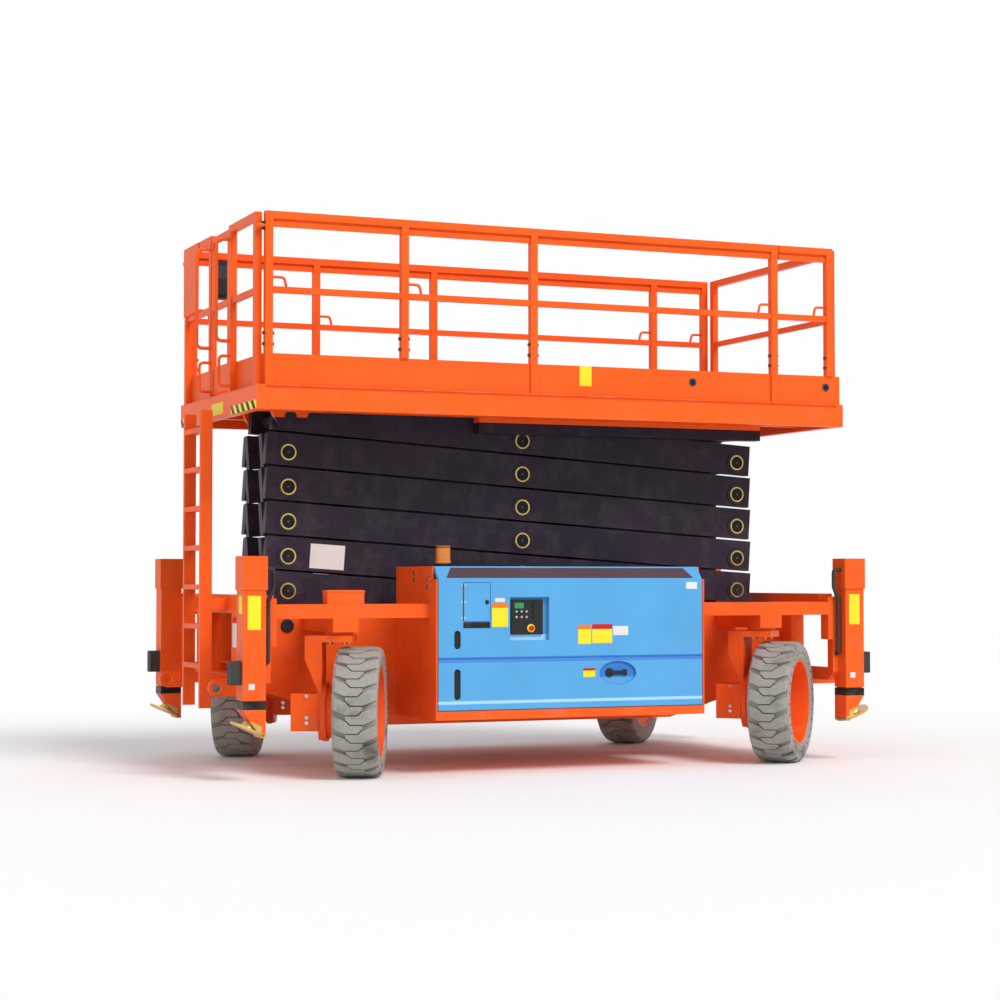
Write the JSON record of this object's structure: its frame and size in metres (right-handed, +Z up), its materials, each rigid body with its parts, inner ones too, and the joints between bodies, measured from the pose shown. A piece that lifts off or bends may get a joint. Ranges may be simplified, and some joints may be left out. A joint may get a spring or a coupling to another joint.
{
  "type": "rough terrain scissor lift",
  "caption": "Self-propelled diesel scissor lift for rough terrain, with steered wheels, stabilizer legs, engine hoods, ladder and a guarded work platform.",
  "frame": {"origin": "centre of the bounding box on the floor, with the scissor stack lowered", "axes": "+X along the machine, away from the ladder end; +Y across, to the side away from the control recess; +Z up"},
  "size_m": [4.7096, 2.7942, 3.634],
  "materials": {
    "orange_paint": "satin",
    "blue_paint": "gloss",
    "navy_paint": "satin",
    "black_steel": "satin",
    "dark_cast": "rough",
    "rod_chrome": "polished",
    "zinc": "satin",
    "tyre_rubber": "matte",
    "hose_rubber": "matte",
    "amber": "gloss",
    "black_plastic": "matte"
  },
  "bodies": {
    "chassis": {"chassis_beams": "orange_paint", "end_frames": "orange_paint", "end_webs": "orange_paint", "axle_frames": "orange_paint", "stabilizer_sleeves": "orange_paint", "bumpers": "hose_rubber", "hoses": "hose_rubber", "ladder_stringers": "orange_paint", "ladder_rungs": "orange_paint", "side_trays": "orange_paint", "power_blocks": "dark_cast", "beacon": "amber"},
    "inner_1": {"inner_arms_1": "navy_paint"},
    "outer_1": {"outer_arms_1": "navy_paint"},
    "inner_2": {"inner_arms_2": "navy_paint"},
    "outer_2": {"outer_arms_2": "navy_paint"},
    "inner_3": {"inner_arms_3": "navy_paint"},
    "outer_3": {"outer_arms_3": "navy_paint"},
    "inner_4": {"inner_arms_4": "navy_paint"},
    "outer_4": {"outer_arms_4": "navy_paint"},
    "inner_5": {"inner_arms_5": "navy_paint"},
    "outer_5": {"outer_arms_5": "navy_paint"},
    "inner_6": {"inner_arms_6": "navy_paint"},
    "outer_6": {"outer_arms_6": "navy_paint"},
    "lower_barrel": {"lower_cylinder_barrel": "black_steel"},
    "lower_rod": {"lower_cylinder_rod": "rod_chrome"},
    "upper_barrel": {"upper_cylinder_barrel": "black_steel"},
    "upper_rod": {"upper_cylinder_rod": "rod_chrome"},
    "platform": {"deck_frame": "orange_paint", "deck_floor": "orange_paint", "toe_boards": "orange_paint", "rail_posts": "orange_paint", "guard_rails": "orange_paint", "grab_hoops": "orange_paint", "end_panel": "orange_paint", "control_box": "black_plastic"},
    "gate": {"gate": "orange_paint"},
    "near_hood": {"near_hood": "blue_paint", "control_panel": "black_plastic"},
    "far_hood": {"far_hood": "blue_paint"},
    "fuel_door": {"fuel_door": "blue_paint"},
    "front_left_knuckle": {"front_left_knuckle": "orange_paint"},
    "front_left_wheel": {"front_left_rim": "orange_paint", "front_left_tyre": "tyre_rubber"},
    "front_left_leg": {"front_left_leg": "orange_paint"},
    "front_right_knuckle": {"front_right_knuckle": "orange_paint"},
    "front_right_wheel": {"front_right_rim": "orange_paint", "front_right_tyre": "tyre_rubber"},
    "front_right_leg": {"front_right_leg": "orange_paint"},
    "rear_left_knuckle": {"rear_left_knuckle": "orange_paint"},
    "rear_left_wheel": {"rear_left_rim": "orange_paint", "rear_left_tyre": "tyre_rubber"},
    "rear_left_leg": {"rear_left_leg": "orange_paint"},
    "rear_right_knuckle": {"rear_right_knuckle": "orange_paint"},
    "rear_right_wheel": {"rear_right_rim": "orange_paint", "rear_right_tyre": "tyre_rubber"},
    "rear_right_leg": {"rear_right_leg": "orange_paint"}
  },
  "joints": [
    {"name": "lift", "type": "hinge", "parent": "chassis", "child": "inner_1", "pos_m": [-1.713, 0, 0.963], "axis": [0, -1, 0], "range_deg": [0, 61.11]},
    {"name": "cross_1", "type": "hinge", "parent": "inner_1", "child": "outer_1", "pos_m": [0, 0, 1.0795], "axis": [0, -1, 0], "range_deg": [-125.22, 0]},
    {"name": "rear_pin_1", "type": "hinge", "parent": "outer_1", "child": "inner_2", "pos_m": [-1.713, 0, 1.196], "axis": [0, -1, 0], "range_deg": [0, 125.22]},
    {"name": "cross_2", "type": "hinge", "parent": "inner_2", "child": "outer_2", "pos_m": [0, 0, 1.3125], "axis": [0, -1, 0], "range_deg": [-125.22, 0]},
    {"name": "rear_pin_2", "type": "hinge", "parent": "outer_2", "child": "inner_3", "pos_m": [-1.713, 0, 1.429], "axis": [0, -1, 0], "range_deg": [0, 125.22]},
    {"name": "cross_3", "type": "hinge", "parent": "inner_3", "child": "outer_3", "pos_m": [0, 0, 1.5455], "axis": [0, -1, 0], "range_deg": [-125.22, 0]},
    {"name": "rear_pin_3", "type": "hinge", "parent": "outer_3", "child": "inner_4", "pos_m": [-1.713, 0, 1.662], "axis": [0, -1, 0], "range_deg": [0, 125.22]},
    {"name": "cross_4", "type": "hinge", "parent": "inner_4", "child": "outer_4", "pos_m": [0, 0, 1.7785], "axis": [0, -1, 0], "range_deg": [-125.22, 0]},
    {"name": "rear_pin_4", "type": "hinge", "parent": "outer_4", "child": "inner_5", "pos_m": [-1.713, 0, 1.895], "axis": [0, -1, 0], "range_deg": [0, 125.22]},
    {"name": "cross_5", "type": "hinge", "parent": "inner_5", "child": "outer_5", "pos_m": [0, 0, 2.0115], "axis": [0, -1, 0], "range_deg": [-125.22, 0]},
    {"name": "rear_pin_5", "type": "hinge", "parent": "outer_5", "child": "inner_6", "pos_m": [-1.713, 0, 2.128], "axis": [0, -1, 0], "range_deg": [0, 125.22]},
    {"name": "cross_6", "type": "hinge", "parent": "inner_6", "child": "outer_6", "pos_m": [0, 0, 2.2445], "axis": [0, -1, 0], "range_deg": [-125.22, 0]},
    {"name": "platform_pin", "type": "hinge", "parent": "outer_6", "child": "platform", "pos_m": [-1.713, 0, 2.361], "axis": [0, -1, 0], "range_deg": [0, 64.11]},
    {"name": "lower_barrel_swing", "type": "hinge", "parent": "inner_1", "child": "lower_barrel", "pos_m": [-1.11235, 0, 0.97378], "axis": [0, -1, 0], "range_deg": [0, 4.2]},
    {"name": "lower_rod_slide", "type": "slide", "parent": "lower_barrel", "child": "lower_rod", "axis": [0.9914, 0, 0.1306], "range_m": [0, 0.935]},
    {"name": "upper_barrel_swing", "type": "hinge", "parent": "inner_4", "child": "upper_barrel", "pos_m": [-1.11235, 0, 1.67278], "axis": [0, -1, 0], "range_deg": [0, 4.2]},
    {"name": "upper_rod_slide", "type": "slide", "parent": "upper_barrel", "child": "upper_rod", "axis": [0.9914, 0, 0.1306], "range_m": [0, 0.935]},
    {"name": "gate_hinge", "type": "hinge", "parent": "platform", "child": "gate", "pos_m": [-2.092, 0.1845, 3], "axis": [0, 0, 1], "range_deg": [0, 90]},
    {"name": "near_hood_hinge", "type": "hinge", "parent": "chassis", "child": "near_hood", "pos_m": [0, -0.7605, 1.359], "axis": [-1, 0, 0], "range_deg": [0, 75]},
    {"name": "far_hood_hinge", "type": "hinge", "parent": "chassis", "child": "far_hood", "pos_m": [0, 0.7605, 1.359], "axis": [1, 0, 0], "range_deg": [0, 75]},
    {"name": "fuel_door_hinge", "type": "hinge", "parent": "near_hood", "child": "fuel_door", "pos_m": [-0.789, -1.15, 1.126], "axis": [0, 0, -1], "range_deg": [0, 110]},
    {"name": "front_left_steer", "type": "hinge", "parent": "chassis", "child": "front_left_knuckle", "pos_m": [1.56, 0.91, 0.9], "axis": [0, 0, 1], "range_deg": [-111, 19]},
    {"name": "front_left_spin", "type": "hinge", "parent": "front_left_knuckle", "child": "front_left_wheel", "pos_m": [1.45929, 1.00725, 0.42], "axis": [-0.7193, 0.6947, 0], "continuous": true},
    {"name": "front_left_leg_slide", "type": "slide", "parent": "chassis", "child": "front_left_leg", "axis": [0, 0, -1], "range_m": [0, 0.5]},
    {"name": "front_right_steer", "type": "hinge", "parent": "chassis", "child": "front_right_knuckle", "pos_m": [1.56, -0.91, 0.9], "axis": [0, 0, 1], "range_deg": [-111, 19]},
    {"name": "front_right_spin", "type": "hinge", "parent": "front_right_knuckle", "child": "front_right_wheel", "pos_m": [1.66071, -1.00725, 0.42], "axis": [0.7193, -0.6947, 0], "continuous": true},
    {"name": "front_right_leg_slide", "type": "slide", "parent": "chassis", "child": "front_right_leg", "axis": [0, 0, -1], "range_m": [0, 0.5]},
    {"name": "rear_left_steer", "type": "hinge", "parent": "chassis", "child": "rear_left_knuckle", "pos_m": [-1.56, 0.91, 0.9], "axis": [0, 0, 1], "range_deg": [-130, 0]},
    {"name": "rear_left_spin", "type": "hinge", "parent": "rear_left_knuckle", "child": "rear_left_wheel", "pos_m": [-1.68688, 0.96917, 0.42], "axis": [-0.9063, 0.4226, 0], "continuous": true},
    {"name": "rear_left_leg_slide", "type": "slide", "parent": "chassis", "child": "rear_left_leg", "axis": [0, 0, -1], "range_m": [0, 0.5]},
    {"name": "rear_right_steer", "type": "hinge", "parent": "chassis", "child": "rear_right_knuckle", "pos_m": [-1.56, -0.91, 0.9], "axis": [0, 0, 1], "range_deg": [-130, 0]},
    {"name": "rear_right_spin", "type": "hinge", "parent": "rear_right_knuckle", "child": "rear_right_wheel", "pos_m": [-1.43312, -0.96917, 0.42], "axis": [0.9063, -0.4226, 0], "continuous": true},
    {"name": "rear_right_leg_slide", "type": "slide", "parent": "chassis", "child": "rear_right_leg", "axis": [0, 0, -1], "range_m": [0, 0.5]}
  ],
  "couplings": [
    {"joint": "cross_1", "follows": "lift", "ratio": -2},
    {"joint": "rear_pin_1", "follows": "lift", "ratio": 2},
    {"joint": "cross_2", "follows": "lift", "ratio": -2},
    {"joint": "rear_pin_2", "follows": "lift", "ratio": 2},
    {"joint": "cross_3", "follows": "lift", "ratio": -2},
    {"joint": "rear_pin_3", "follows": "lift", "ratio": 2},
    {"joint": "cross_4", "follows": "lift", "ratio": -2},
    {"joint": "rear_pin_4", "follows": "lift", "ratio": 2},
    {"joint": "cross_5", "follows": "lift", "ratio": -2},
    {"joint": "rear_pin_5", "follows": "lift", "ratio": 2},
    {"joint": "cross_6", "follows": "lift", "ratio": -2},
    {"joint": "platform_pin", "follows": "lift", "ratio": 1},
    {"joint": "lower_barrel_swing", "follows": "lift", "ratio": 0.060186},
    {"joint": "lower_rod_slide", "follows": "lift", "m_per_rad": 0.86413},
    {"joint": "upper_barrel_swing", "follows": "lift", "ratio": 0.060186},
    {"joint": "upper_rod_slide", "follows": "lift", "m_per_rad": 0.86413}
  ]
}
